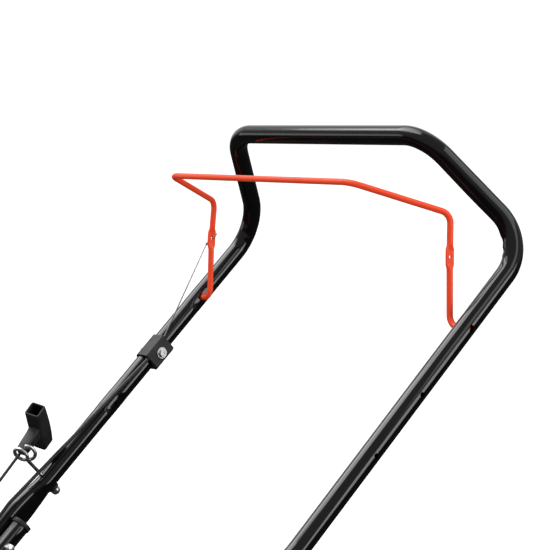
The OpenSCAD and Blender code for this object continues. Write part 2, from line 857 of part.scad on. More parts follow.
// Knobs outside the plates on studs whose heads clamp the roller brackets
module height_knobs() {
    at = [roller_at.x, height_bolt_z];
    color(plastic) both_sides() {
        difference() {
            union() {
                bar_x(plate_out, plate_out + 8, 9, at);
                bar_x(plate_out + 8, plate_out + 24, 17, at);
            }
            for (a = [0:60:300]) translate([plate_out + 7, at.x, at.y]) rotate([a, 0, 0])
                translate([0, 0, 20]) rotate([0, 90, 0]) cylinder(h = 20, r = 6);
            bar_x(plate_out - past, plate_out + 16, bolt_r, at);
        }
        bar_x(plate_in - 12, plate_out + 16, bolt_r, at);
        bar_x(plate_in - 12, plate_in - 6.6, 8, at);
    }
}

// ---------- upper handle ----------

handle_path = [on_leg(-leg_x, -upper_leg), [-leg_x, bend_y, bend_z],
    [-grip_x, bend_y - grip_forward, bend_z + grip_rise],
    [grip_x, bend_y - grip_forward, bend_z + grip_rise], [leg_x, bend_y, bend_z],
    on_leg(leg_x, -upper_leg)];
handle_bends = [for (i = [0:3]) handle_bend_r];
crimp_s = 515;
// The lock bolt's seat is this much wider than its slot
lock_relief = 0.15;
crimp_x = lower_x + tube_r + 2;
// The bore closes this far above the pressed end
bore_s = crimp_s - 6;
handle_bore = concat([on_leg(-leg_x, -bore_s)], [for (i = [1:4]) handle_path[i]], [on_leg(leg_x, -bore_s)]);

module upper_handle() {
    pivot = on_leg(0, -fold_s);
    color(black) difference() {
        bent_rod(handle_path, handle_bends, tube_r);
        bent_rod(handle_bore, handle_bends, tube_r - tube_wall);
        both_sides() {
            // Inner face pressed flat beside the lower tube
            at_leg(crimp_x - 40, -upper_leg - past)
                translate([0, -20, 0]) cube([40, 40, upper_leg - crimp_s + past]);
            leg_hole(bail_pivot_s, bail_r + running);
            leg_hole(fold_s, bolt_r + running);
            // Open slot that slips off the lock bolt as the handle folds
            translate([leg_x - 30, pivot.y, pivot.z]) rotate([leg_slope, 0, 0]) rotate([0, 90, 0])
                rotate([0, 0, -90 - 62]) rotate_extrude(angle = 62)
                    translate([lock_s - fold_s - bolt_r - loose, 0]) square([2 * (bolt_r + loose), 60]);
            leg_hole(lock_s, bolt_r + loose + lock_relief);
        }
        for (s = [clip_s, spare_s]) leg_hole(s, left_hole_r);
        mirror([1, 0, 0]) leg_hole(clip_s, clip_bolt_r + fixed_fit);
        mirror([1, 0, 0]) leg_hole(spare_s, right_hole_r);
        // Hole for the rope guide, square to the leg
        rod(on_leg(-leg_x, -guide_s, -20), on_leg(-leg_x, -guide_s, 20), guide_r + fixed_fit);
    }
}

// A hole across the left leg, s below the bend
module leg_hole(s, r) {
    p = on_leg(0, -s);
    bar_x(leg_x - 20, leg_x + 20, r, [p.y, p.z]);
}

guide_r = 2.5;
loop_r = 11;

// Eye of wire: a shank through the leg and a ring that the rope runs through
module rope_guide() {
    foot = on_leg(-leg_x, -guide_s, -19);
    neck = on_leg(-leg_x, -guide_s, loop_n - loop_r + 1.5);
    color(steel) {
        rod(foot, neck, guide_r);
        translate(rope_to) rotate([0, acos(rope_dir.z), atan2(rope_dir.y, rope_dir.x)])
            rotate_extrude() translate([loop_r, 0]) circle(r = guide_r);
    }
}

module rope_guide_nut() {
    color(steel) difference() {
        union() {
            rod(on_leg(-leg_x, -guide_s, -18), on_leg(-leg_x, -guide_s, -tube_r), 8);
            rod(on_leg(-leg_x, -guide_s, -26), on_leg(-leg_x, -guide_s, -18), 6.2);
        }
        rod(on_leg(-leg_x, -guide_s, -20), on_leg(-leg_x, -guide_s, 0), guide_r + fixed_fit);
    }
}

module cable_clip() {
    color(plastic) difference() {
        at_leg(-leg_x, -clip_s) clip_block();
        rod(wire_foot - wire_dir * 6, wire_foot + wire_dir * 16, wire_r + 0.5);
    }
}

module clip_block() {
    difference() {
        translate([-tube_r - 2.5, -15, -19]) cube([36, 31, 38]);
        translate([0, 0, -20]) cylinder(h = 40, r = tube_r + fixed_fit);
        translate([-tube_r - 4, -4, -20]) cube([8, 8, 40]);
        translate([clip_off, -8.5, -20]) cylinder(h = 30, r = conduit_r + fixed_fit);
        rotate([0, 90, 0]) cylinder(h = 30, r = clip_bolt_r + fixed_fit);
    }
}

module clip_bolt() {
    color(steel) at_leg(-leg_x, -clip_s) {
        rotate([0, 90, 0]) translate([0, 0, -tube_r - 3]) cylinder(h = tube_r + 27.5, r = clip_bolt_r);
        translate([21, 0, 0]) rotate([0, 90, 0]) cylinder(h = 1.6, r = 8);
        translate([22.6, 0, 0]) rotate([0, 90, 0]) cylinder(h = 4.4, r = 6, $fn = 6);
    }
}

// ---------- bail and cable ----------

// How far the cable lies from the leg's centreline in the clip
clip_off = 17;

bail_path = [on_leg(-leg_x - 5, -bail_pivot_s), on_leg(-254.4, -bail_pivot_s), on_leg(-252.2, -83.6, 60.1),
    on_leg(-249.3, -45.3, 95.6), on_leg(-191.9, -98.9, 199.9)];
bail_bends = [14, 60, 15, 24];
lug_at = on_leg(-252.2, -83.6, 60.1);

module bail_half() {
    bent_rod(concat(bail_path, [on_leg(0, -98.9, 199.9)]), bail_bends, bail_r);
}

module bail() {
    color(paint) difference() {
        union() {
            both_sides() bail_half();
            both_sides() bar_x(-lug_x - 2, -lug_x + 2, 6.2, [lug_at.y, lug_at.z]);
        }
        both_sides() bar_x(-lug_x - 10, -lug_x + 10, 2.2, [lug_at.y, lug_at.z]);
    }
}

lug_x = 252.2;
wire_r = 0.9;
wire_foot = on_leg(clip_off - leg_x, -clip_s + 12, 8.5);
wire_dir = unit(lug_at + [-6, 0, 0] - wire_foot);

module inner_wire() {
    color(steel) bent_rod([wire_foot, lug_at + [-6, 0, 0], lug_at + [7, 0, 0], lug_at + [7, 0, 9]],
        [2, 2], wire_r);
}

conduit_r = 2.5;
// Route of the outer cable below the clip: [x, s, n] on the leg, then row points to the brake tab
conduit_route = concat(
    [for (q = [[clip_off - leg_x, -clip_s - 16, 8.5], [clip_off - leg_x, -275, 8.5], [-268, -550, 30],
        [-270, -660, 21], [-262, -720, 30]]) on_leg(q.x, q.y, q.z)],
    [[-190, -20, 446], [-90, -60, 440], [-54.8, -80, 412]]);

module conduit() {
    color(plastic) bent_rod(conduit_route, [60, 60, 60, 60, 70, 60], conduit_r);
}

// ---------- starter grip ----------

// Where the rope leaves the grip, the stem's direction and the bar's direction
grip_base = [-283.9, 200.9, 624.5];
grip_out = unit([-0.258, 0.738, 0.624]);
grip_side = unit(cross([0.48, -0.463, 0.746], grip_out));
grip_along = cross(grip_out, grip_side);
grip_bar = [21.6, 72.6, 22.4];
grip_stem_low = 5.5;
grip_stem = 39.6;
grip_wall = 2.2;

module at_grip() {
    multmatrix([for (k = [0:2]) [grip_side[k], grip_along[k], grip_out[k], grip_base[k]]]) children();
}

// Hollow T grip: a stem on the rope and a bar across it that is open at its upper end
module starter_grip() {
    hollow = grip_bar - [2 * grip_wall, grip_wall, 2 * grip_wall];
    color(plastic) at_grip() difference() {
        union() {
            translate([0, 0, grip_stem_low]) linear_extrude(grip_stem - grip_stem_low + past)
                square([15.3, 15], center = true);
            translate([-grip_bar.x / 2, -grip_bar.y / 2, grip_stem]) cube(grip_bar);
        }
        translate([-hollow.x / 2, grip_wall - grip_bar.y / 2, grip_stem + grip_wall])
            cube([hollow.x, hollow.y + past, hollow.z]);
        translate([0, 0, grip_stem_low - past]) cylinder(h = grip_stem, r = rope_r + 0.6);
    }
}

// The end of the rope inside the grip, with its knot
module starter_rope() {
    color(black) {
        rod(grip_base + grip_out * 2, grip_base + grip_out * (grip_stem + grip_wall + 3), rope_r);
        at_grip() translate([0, 0, grip_stem + grip_wall + 2.5]) cylinder(h = 8, r = 5);
    }
}

side_plate_left();
side_plate_right();
engine_deck();
front_tie_bar();
bed_bar();
bedknife();
grass_deflector();
lower_handle_left();
lower_handle_right();
handle_end_caps();
fold_bolts();
lock_knobs();
frame_bolts();
reel_bearings();
drum_bearings();
countershaft_bearing();
chain_cover();
reel_chain();
drum_chain();
drive_belt();
crankcase();
color(alloy) at_cylinder() cylinder_barrel();  // cylinder
rocker_cover();
spark_plug();
fuel_tank();
fuel_cap();
air_filter();
carburettor();
choke_lever();
muffler();
muffler_guard();
flywheel_shroud();
recoil_housing();
oil_cap();
brake_lever();
starter_rope_lower();
recoil_pulley();
crankshaft();
flywheel();
clutch_drum();
countershaft();
reel_shaft();
reel_spiders();
reel_blades();
drum_shells();
drum_axle();
front_roller();
roller_carrier();
height_knobs();
upper_handle();
cable_clip();
clip_bolt();
rope_guide();
rope_guide_nut();
bail();
inner_wire();
conduit();
starter_grip();
starter_rope();
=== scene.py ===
import json
import math

import bmesh
import bpy
import numpy as np
from mathutils import Matrix, Vector


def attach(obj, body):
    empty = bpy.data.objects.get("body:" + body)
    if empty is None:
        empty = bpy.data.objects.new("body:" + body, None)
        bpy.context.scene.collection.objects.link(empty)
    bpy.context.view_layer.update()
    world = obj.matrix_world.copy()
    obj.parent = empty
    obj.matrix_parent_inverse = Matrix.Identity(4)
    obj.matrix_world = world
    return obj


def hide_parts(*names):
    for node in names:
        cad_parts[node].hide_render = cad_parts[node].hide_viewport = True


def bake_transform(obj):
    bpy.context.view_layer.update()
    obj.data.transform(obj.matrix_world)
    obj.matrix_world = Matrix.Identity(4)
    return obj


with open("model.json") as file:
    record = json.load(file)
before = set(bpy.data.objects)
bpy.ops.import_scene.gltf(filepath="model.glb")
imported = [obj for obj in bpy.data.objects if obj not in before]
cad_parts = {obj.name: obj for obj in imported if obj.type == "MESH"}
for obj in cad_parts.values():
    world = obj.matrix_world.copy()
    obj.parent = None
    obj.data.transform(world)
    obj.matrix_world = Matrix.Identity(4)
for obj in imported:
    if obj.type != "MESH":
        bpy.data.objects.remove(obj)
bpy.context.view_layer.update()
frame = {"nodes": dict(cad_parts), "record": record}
NODES = frame["nodes"]
MM = 0.001

# ---------------------------------------------------------------- the mower's own sizes, in millimetres
LEG_X = 282.2
LEG_SLOPE = math.radians(43.47)
BEND_Y, BEND_Z = 595.0, 920.0
TUBE_R, TUBE_WALL = 12.5, 1.5
GRIP_X, GRIP_FORWARD, GRIP_RISE = 199.8, 98.9, 132.6
BEND_R = 60.0
UPPER_LEG, FOLD_S, LOCK_S = 650.0, 600.0, 634.0
BAIL_R, BAIL_PIVOT_S = 4.0, 142.2
CLIP_S, SPARE_S, GUIDE_S, LOOP_N = 249.0, 345.0, 488.0, 58.0
GUIDE_R, LOOP_R = 2.5, 10.6
WIRE_R, CONDUIT_R, ROPE_R = 0.9, 2.5, 2.0
SIDES = (-1, 1)


def vec(*p):
    return np.array(p, float)


# An outline in the y-z plane pushed along x
X_AXES = (vec(0, 1, 0), vec(0, 0, 1), vec(1, 0, 0))
RIGHT = vec(1, 0, 0)


def unit(v):
    """The same direction with length one."""
    return v / np.linalg.norm(v)


def on_leg(x, s, n=0.0):
    """A point s up the leg line from its bend and n out of its upper face."""
    return vec(x, BEND_Y + s * math.cos(LEG_SLOPE) - n * math.sin(LEG_SLOPE),
               BEND_Z + s * math.sin(LEG_SLOPE) + n * math.cos(LEG_SLOPE))


LEG_UP = on_leg(0, 1) - on_leg(0, 0)
LEG_OUT = on_leg(0, 0, 1) - on_leg(0, 0)
ROPE_FROM = vec(-118, -150, 379)
ROPE_TO = on_leg(-LEG_X, -GUIDE_S, LOOP_N)
ROPE_DIR = unit(ROPE_TO - ROPE_FROM)
LUG = on_leg(-252.2, -83.6, 60.1)

# ---------------------------------------------------------------- camera
AZIMUTH, ELEVATION = math.radians(53.38), math.radians(4.18)
BACK = vec(math.sin(AZIMUTH) * math.cos(ELEVATION), -math.cos(AZIMUTH) * math.cos(ELEVATION),
           math.sin(ELEVATION))
VIEW_RIGHT = unit(np.cross(vec(0, 0, 1), BACK))
VIEW_UP = np.cross(BACK, VIEW_RIGHT)
camera = bpy.data.objects.new("camera", bpy.data.cameras.new("camera"))
bpy.context.scene.collection.objects.link(camera)
camera.location = (2.12239, -1.16045, 1.06597)
camera.rotation_euler = (-Vector(BACK)).to_track_quat("-Z", "Y").to_euler()
camera.data.lens = 134.77
camera.data.sensor_width = 36.0
camera.data.clip_end = 200.0
bpy.context.scene.camera = camera


# ---------------------------------------------------------------- mesh helpers
def add_mesh(name, verts, faces, smooth=True):
    """A mesh object from points in millimetres."""
    mesh = bpy.data.meshes.new(name)
    mesh.from_pydata([tuple(float(c) * MM for c in v) for v in verts], [], faces)
    mesh.update()
    ob = bpy.data.objects.new(name, mesh)
    bpy.context.scene.collection.objects.link(ob)
    if smooth:
        mesh.polygons.foreach_set("use_smooth", [True] * len(mesh.polygons))
    return ob


def recalc(ob):
    """Merges doubled points and turns all faces outward."""
    bm = bmesh.new()
    bm.from_mesh(ob.data)
    bmesh.ops.remove_doubles(bm, verts=bm.verts, dist=1e-7)
    bmesh.ops.recalc_face_normals(bm, faces=bm.faces)
    bm.to_mesh(ob.data)
    bm.free()
    return ob


def rounded_path(corners, radii, step=4.0, arc_step=5.0):
    """Points along a polyline whose inner corners are arcs, evenly spaced."""
    corners = [np.array(c, float) for c in corners]
    out = [corners[0]]
    start = corners[0]
    for i in range(1, len(corners) - 1):
        a, b, c = corners[i - 1], corners[i], corners[i + 1]
        d0, d1 = unit(b - a), unit(c - b)
        turn = math.acos(max(-1.0, min(1.0, float(d0 @ d1))))
        r = radii[i - 1]
        reach = r * math.tan(turn / 2)
        p0, p1 = b - d0 * reach, b + d1 * reach
        add_straight(out, start, p0, step)
        inward = unit(d1 - d0 * float(d0 @ d1))
        centre = p0 + inward * r
        count = max(4, int(math.degrees(turn) / arc_step))
        for k in range(1, count + 1):
            t = turn * k / count
            out.append(centre - inward * r * math.cos(t) + d0 * r * math.sin(t))
        start = p1
    add_straight(out, start, corners[-1], step)
    return np.array(out)


def add_straight(out, a, b, step):
    """Adds evenly spaced points from a, left out, to b."""
    length = float(np.linalg.norm(b - a))
    if length < 1e-6:
        return
    count = max(1, int(round(length / step)))
    for k in range(1, count + 1):
        out.append(a + (b - a) * k / count)


def tangents(path):
    t = np.zeros_like(path)
    t[1:-1] = path[2:] - path[:-2]
    t[0], t[-1] = path[1] - path[0], path[-1] - path[-2]
    return t / np.linalg.norm(t, axis=1)[:, None]


def ring_frames(path, first):
    """Two axes across each point of the path, carried along without twist."""
    t = tangents(path)
    u = first - t[0] * float(first @ t[0])
    u = unit(u)
    us = [u]
    for i in range(1, len(path)):
        u = us[-1] - t[i] * float(us[-1] @ t[i])
        us.append(unit(u))
    us = np.array(us)
    return t, us, np.cross(t, us)


def tube(name, path, radius, sides=24, shape=None, first=None, inner=None, round_end=0.0):
    """A tube along a path. shape(i, offsets, tangent) may move the ring's offsets from its centre."""
    path = np.array(path, float)
    first = vec(0, 0, 1) if first is None else first
    if abs(float(unit(path[1] - path[0]) @ unit(first))) > 0.97:
        first = vec(1, 0, 0)
    t, u, v = ring_frames(path, first)
    ang = np.linspace(0, 2 * math.pi, sides, endpoint=False)
    rings = []
    for i in range(len(path)):
        off = radius * (np.cos(ang)[:, None] * u[i] + np.sin(ang)[:, None] * v[i])
        if shape is not None:
            off = shape(i, off, t[i])
        rings.append(path[i] + off)
    verts = np.concatenate(rings).tolist()
    faces = []
    n = len(path)
    for i in range(n - 1):
        for k in range(sides):
            a, b = i * sides + k, i * sides + (k + 1) % sides
            faces.append((a, b, b + sides, a + sides))
    if inner is not None:
        base = len(verts)
        for i in range(n):
            off = rings[i] - path[i]
            size = np.linalg.norm(off, axis=1)[:, None]
            verts.extend((path[i] + off * (1 - inner / size)).tolist())
        for i in range(n - 1):
            for k in range(sides):
                a, b = base + i * sides + k, base + i * sides + (k + 1) % sides
                faces.append((b, a, a + sides, b + sides))
        for i, flip in ((0, True), (n - 1, False)):
            for k in range(sides):
                a, b = i * sides + k, i * sides + (k + 1) % sides
                quad = (a, b, base + b, base + a)
                faces.append(quad[::-1] if not flip else quad)
    else:
        for i, sign in ((0, -1), (n - 1, 1)):
            ring = [i * sides + k for k in range(sides)]
            if round_end > 0:
                previous = ring
                for step_angle in (30, 60):
                    f = math.cos(math.radians(step_angle))
                    push = t[i] * sign * radius * round_end * math.sin(math.radians(step_angle))
                    new = []
                    for k in range(sides):
                        new.append(len(verts))
                        verts.append((path[i] + (rings[i][k] - path[i]) * f + push).tolist())
                    for k in range(sides):
                        quad = (previous[k], previous[(k + 1) % sides], new[(k + 1) % sides], new[k])
                        faces.append(quad if sign > 0 else quad[::-1])
                    previous = new
                ring = previous
            faces.append(tuple(ring) if sign > 0 else tuple(ring[::-1]))
    return recalc(add_mesh(name, verts, faces))


def smooth_catmull(points, per=8):
    """A smooth curve through points."""
    p = [np.array(q, float) for q in points]
    p = [2 * p[0] - p[1]] + p + [2 * p[-1] - p[-2]]
    out = []
    for i in range(1, len(p) - 2):
        for k in range(per):
            t = k / per
            out.append(0.5 * ((2 * p[i]) + (-p[i - 1] + p[i + 1]) * t
                              + (2 * p[i - 1] - 5 * p[i] + 4 * p[i + 1] - p[i + 2]) * t * t
                              + (-p[i - 1] + 3 * p[i] - 3 * p[i + 1] + p[i + 2]) * t ** 3))
    out.append(p[-2])
    return np.array(out)


def prism(name, outline, low, high, origin, axes):
    """An outline of (a, b) pushed from low to high along the third axis, in a frame at origin."""
    ax, ay, az = axes
    n = len(outline)
    verts = [origin + ax * a + ay * b + az * low for a, b in outline]
    verts += [origin + ax * a + ay * b + az * high for a, b in outline]
    faces = [tuple(range(n))[::-1], tuple(range(n, 2 * n))]
    faces += [(k, (k + 1) % n, n + (k + 1) % n, n + k) for k in range(n)]
    return recalc(add_mesh(name, verts, faces, smooth=False))


def lathe(name, profile, origin, axis, sides=48):
    """A profile of (radius, height) turned about an axis."""
    axis = unit(axis)
    u = unit(np.cross(axis, vec(0.31, 0.2, 0.93)))
    v = np.cross(axis, u)
    verts, faces = [], []
    for r, h in profile:
        for k in range(sides):
            a = 2 * math.pi * k / sides
            verts.append(origin + axis * h + (u * math.cos(a) + v * math.sin(a)) * r)
    for i in range(len(profile) - 1):
        for k in range(sides):
            a, b = i * sides + k, i * sides + (k + 1) % sides
            faces.append((a, b, b + sides, a + sides))
    faces.append(tuple(range(sides))[::-1])
    last = (len(profile) - 1) * sides
    faces.append(tuple(range(last, last + sides)))
    return recalc(add_mesh(name, verts, faces))


def circle_outline(r, n=24, cx=0.0, cy=0.0):
    turns = [2 * math.pi * k / n for k in range(n)]
    return [(cx + r * math.cos(a), cy + r * math.sin(a)) for a in turns]


def rounded_rect(w, h, r, per=5):
    out = []
    for cx, cy, a0 in ((w / 2 - r, h / 2 - r, 0), (-w / 2 + r, h / 2 - r, 90),
                       (-w / 2 + r, -h / 2 + r, 180), (w / 2 - r, -h / 2 + r, 270)):
        for k in range(per + 1):
            a = math.radians(a0 + 90 * k / per)
            out.append((cx + r * math.cos(a), cy + r * math.sin(a)))
    return out


def loft(name, sections):
    """Rings of the same number of points, joined in order and closed at both ends."""
    n = len(sections[0])
    verts = [p for ring in sections for p in ring]
    faces = []
    for i in range(len(sections) - 1):
        for k in range(n):
            a, b = i * n + k, i * n + (k + 1) % n
            faces.append((a, b, b + n, a + n))
    faces.append(tuple(range(n))[::-1])
    faces.append(tuple(range((len(sections) - 1) * n, len(sections) * n)))
    return recalc(add_mesh(name, verts, faces))


def applied(ob):
    """Replaces the mesh by what its modifiers make of it."""
    dg = bpy.context.evaluated_depsgraph_get()
    dg.update()
    mesh = bpy.data.meshes.new_from_object(ob.evaluated_get(dg))
    old = ob.data
    ob.modifiers.clear()
    ob.data = mesh
    bpy.data.meshes.remove(old)
    return ob


def cut(ob, cutters):
    """Cuts the cutters' shapes out of the object and removes them."""
    for c in cutters:
        m = ob.modifiers.new("cut", "BOOLEAN")
        m.operation = "DIFFERENCE"
        m.solver = "MANIFOLD"
        m.object = c
    bpy.context.view_layer.update()
    applied(ob)
    for c in cutters:
        bpy.data.objects.remove(c)
    return ob


def join(name, obs):
    """Several objects as one mesh, in place."""
    bm = bmesh.new()
    for ob in obs:
        ob.data.transform(ob.matrix_world)
        bm.from_mesh(ob.data)
    mesh = bpy.data.meshes.new(name)
    bm.to_mesh(mesh)
    bm.free()
    for ob in obs:
        bpy.data.objects.remove(ob)
    out = bpy.data.objects.new(name, mesh)
    bpy.context.scene.collection.objects.link(out)
    return out


EDGE_ANGLE = math.radians(32.0)
WELD_GAP = 2e-5


def soften(ob, width, segments=2, weld=False):
    """Rounds the sharp edges by a modifier and keeps the flats flat."""
    if weld:
        w = ob.modifiers.new("weld", "WELD")
        w.merge_threshold = WELD_GAP
    b = ob.modifiers.new("edge", "BEVEL")
    b.width = width * MM
    b.segments = segments
    b.limit_method = "ANGLE"
    b.angle_limit = EDGE_ANGLE
    b.harden_normals = True
    b.use_clamp_overlap = True
    ob.data.polygons.foreach_set("use_smooth", [True] * len(ob.data.polygons))
    ob.data.set_sharp_from_angle(angle=EDGE_ANGLE)
    return ob


def shade_smooth(ob, degrees):
    """Shades smooth wherever faces meet at less than this angle."""
    ob.data.polygons.foreach_set("use_smooth", [True] * len(ob.data.polygons))
    ob.data.set_sharp_from_angle(angle=math.radians(degrees))


def smoothstep(x):
    """Rises smoothly from 0 at 0 to 1 at 1."""
    x = min(1.0, max(0.0, x))
    return x * x * (3 - 2 * x)


def window(s, low, high, ramp):
    """1 between low and high, falling to 0 over ramp outside them."""
    return smoothstep((s - low) / ramp + 1) * smoothstep((high - s) / ramp + 1)


def smooth_min(a, b, k):
    """The smaller of two values, with the corner between them rounded over k."""
    h = np.clip(0.5 + 0.5 * (b - a) / k, 0, 1)
    return b * (1 - h) + a * h - k * h * (1 - h)


# ---------------------------------------------------------------- materials
# The noise values between which a colour and a roughness change
RAMP_ENDS, SPREAD_ENDS = (0.3, 0.7), (0.25, 0.75)


def nodes_of(name):
    """A new material with its node tree, its shader and the object's own coordinates."""
    m = bpy.data.materials.new(name)
    m.use_nodes = True
    tree = m.node_tree
    bsdf = tree.nodes["Principled BSDF"]
    coord = tree.nodes.new("ShaderNodeTexCoord")
    return m, tree, bsdf, coord.outputs["Object"]


def noise(tree, coord, scale, detail=3.0, roughness=0.5, stretch=None):
    if stretch is not None:
        mapping = tree.nodes.new("ShaderNodeMapping")
        mapping.inputs["Scale"].default_value = stretch
        tree.links.new(coord, mapping.inputs["Vector"])
        coord = mapping.outputs["Vector"]
    n = tree.nodes.new("ShaderNodeTexNoise")
    n.inputs["Scale"].default_value = scale
    n.inputs["Detail"].default_value = detail
    n.inputs["Roughness"].default_value = roughness
    tree.links.new(coord, n.inputs["Vector"])
    return n.outputs["Fac"]


def ramp(tree, value, dark, light):
    """Turns a noise value into a colour between dark and light."""
    r = tree.nodes.new("ShaderNodeValToRGB")
    for end, position, colour in zip(r.color_ramp.elements, RAMP_ENDS, (dark, light)):
        end.position = position
        end.color = (*colour, 1)
    tree.links.new(value, r.inputs["Fac"])
    return r.outputs["Color"]


def spread(tree, value, low, high):
    """Turns a noise value into a number between low and high."""
    r = tree.nodes.new("ShaderNodeMapRange")
    r.inputs["To Min"].default_value = low
    r.inputs["To Max"].default_value = high
    r.inputs["From Min"].default_value = SPREAD_ENDS[0]
    r.inputs["From Max"].default_value = SPREAD_ENDS[1]
    tree.links.new(value, r.inputs["Value"])
    return r.outputs["Result"]


def bump(tree, bsdf, heights):
    """Chains (height socket, distance in mm, strength)."""
    last = None
    for value, distance, strength in heights:
        b = tree.nodes.new("ShaderNodeBump")
        b.inputs["Distance"].default_value = distance * MM
        b.inputs["Strength"].default_value = strength
        tree.links.new(value, b.inputs["Height"])
        if last is not None:
            tree.links.new(last, b.inputs["Normal"])
        last = b.outputs["Normal"]
    tree.links.new(last, bsdf.inputs["Normal"])


def finish_material(name, dark, light, rough, metallic=0.0, coat=0.0, coat_rough=0.08,
                    grain=(900, 0.03, 0.3), wave=None, patches=14.0, stretch=None, specular=0.5):
    """A finish that drifts in colour and roughness, with a fine grain and a slower wave in the surface."""
    m, tree, bsdf, coord = nodes_of(name)
    cloud = noise(tree, coord, patches, 5.0, 0.6, stretch)
    tree.links.new(ramp(tree, cloud, dark, light), bsdf.inputs["Base Color"])
    tree.links.new(spread(tree, noise(tree, coord, patches * 2.3, 4.0, 0.55), rough[0], rough[1]),
                   bsdf.inputs["Roughness"])
    bsdf.inputs["Metallic"].default_value = metallic
    bsdf.inputs["Coat Weight"].default_value = coat
    bsdf.inputs["Coat Roughness"].default_value = coat_rough
    bsdf.inputs["Specular IOR Level"].default_value = specular
    heights = []
    if wave:
        heights.append((noise(tree, coord, wave[0], 2.0), wave[1], wave[2]))
    heights.append((noise(tree, coord, grain[0], 2.0, 0.6), grain[1], grain[2]))
    bump(tree, bsdf, heights)
    return m


BLACK = finish_material("gloss_black", (0.0022, 0.0022, 0.0025), (0.0042, 0.0042, 0.0046), (0.10, 0.16),
                        coat=0.6, coat_rough=0.04, grain=(700, 0.015, 0.06), wave=(110, 0.03, 0.07),
                        specular=0.20)
ORANGE = finish_material("orange_enamel", (0.86, 0.056, 0.010), (0.92, 0.070, 0.014), (0.32, 0.42),
                         coat=0.15, coat_rough=0.16, grain=(800, 0.03, 0.10), wave=(160, 0.04, 0.10),
                         specular=0.30)
ZINC = finish_material("bright_zinc", (0.72, 0.73, 0.75), (0.92, 0.93, 0.94), (0.24, 0.38), metallic=1.0,
                       grain=(1200, 0.02, 0.25), patches=60)
STEEL = finish_material("ground_steel", (0.42, 0.43, 0.45), (0.62, 0.63, 0.65), (0.22, 0.40), metallic=1.0,
                        grain=(1500, 0.02, 0.4), patches=30, stretch=(0.1, 1.0, 1.0))
ALLOY = finish_material("cast_alloy", (0.40, 0.41, 0.42), (0.58, 0.59, 0.60), (0.42, 0.60), metallic=0.85,
                        grain=(600, 0.12, 0.5), patches=24)
HEAT = finish_material("heated_steel", (0.16, 0.13, 0.11), (0.36, 0.33, 0.30), (0.38, 0.55), metallic=0.9,
                       grain=(500, 0.08, 0.4), patches=18)
PLASTIC = finish_material("moulded_plastic", (0.010, 0.010, 0.011), (0.020, 0.020, 0.021), (0.42, 0.56),
                          grain=(1400, 0.05, 0.5), patches=40)
SHEATH = finish_material("cable_sheath", (0.007, 0.007, 0.008), (0.014, 0.014, 0.015), (0.28, 0.40),
                         grain=(900, 0.02, 0.3), patches=50)
RUBBER = finish_material("belt_rubber", (0.012, 0.012, 0.012), (0.028, 0.027, 0.026), (0.65, 0.85),
                         grain=(700, 0.10, 0.6), patches=50)


def braid_material():
    """Black cord with a crossed braid along it."""
    m, tree, bsdf, coord = nodes_of("braided_cord")
    heights = []
    for angle in (35, -35):
        mapping = tree.nodes.new("ShaderNodeMapping")
        mapping.inputs["Rotation"].default_value = (0, math.radians(angle), math.radians(angle))
        tree.links.new(coord, mapping.inputs["Vector"])
        w = tree.nodes.new("ShaderNodeTexWave")
        w.bands_direction = "Z"
        w.inputs["Scale"].default_value = 260.0
        w.inputs["Distortion"].default_value = 0.6
        tree.links.new(mapping.outputs["Vector"], w.inputs["Vector"])
        heights.append((w.outputs["Fac"], 0.25, 0.5))
    fuzz = noise(tree, coord, 500, 3.0)
    tree.links.new(ramp(tree, fuzz, (0.010, 0.010, 0.010), (0.030, 0.030, 0.031)),
                   bsdf.inputs["Base Color"])
    tree.links.new(spread(tree, fuzz, 0.6, 0.85), bsdf.inputs["Roughness"])
    bump(tree, bsdf, heights)
    return m


CORD = braid_material()

SLOT_LOOK = {"orange_paint": ORANGE, "black_paint": BLACK, "zinc_steel": ZINC, "blade_steel": STEEL,
             "cast_alloy": ALLOY, "muffler_steel": HEAT, "black_plastic": PLASTIC, "cable_sheath": SHEATH,
             "belt_rubber": RUBBER, "rope_cord": CORD}
SLOT_OF = {p["node"]: p["material_slot"] for p in frame["record"]["subparts"]}


def dress(ob, material):
    """Gives the object this one material."""
    ob.data.materials.clear()
    ob.data.materials.append(material)


def place(ob, body, material, nodes=()):
    """Finishes a piece: its look, the body it rides on and the CAD nodes it stands for."""
    dress(ob, material)
    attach(ob, body)
    if nodes:
        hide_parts(*nodes)
    return ob


# Every CAD node gets its finish and softened edges
EDGE_WIDTH = {"reel_chain": 0.3, "drum_chain": 0.3, "muffler_guard": 0.25, "recoil_housing": 0.5,
              "cylinder": 0.5, "bedknife": 0.2, "reel_blades": 0.0, "grass_deflector": 0.4,
              "frame_bolts": 0.4, "fold_bolts": 0.4, "brake_lever": 0.4, "choke_lever": 0.3,
              "flywheel_shroud": 0.6}
USUAL_EDGE = 0.8
for node_name, node_object in NODES.items():
    slot_name = SLOT_OF[node_name]
    dress(node_object, SLOT_LOOK[slot_name])
    edge = EDGE_WIDTH.get(node_name, USUAL_EDGE)
    if edge:
        soften(node_object, edge, weld=True)

# ---------------------------------------------------------------- upper handle
HANDLE_CORNERS = [on_leg(-LEG_X, -UPPER_LEG), vec(-LEG_X, BEND_Y, BEND_Z),
                  vec(-GRIP_X, BEND_Y - GRIP_FORWARD, BEND_Z + GRIP_RISE),
                  vec(GRIP_X, BEND_Y - GRIP_FORWARD, BEND_Z + GRIP_RISE),
                  vec(LEG_X, BEND_Y, BEND_Z), on_leg(LEG_X, -UPPER_LEG)]
# Pressed flats on the inner face of each leg: top, bottom, depth and ramp, along the leg below the bend
RIGHT_FLATS = [(132, 156, 2.2, 12), (336, 356, 2.4, 10), (520, 650, 3.6, 30)]
LEFT_FLATS = [(536, 650, 3.0, 20)]
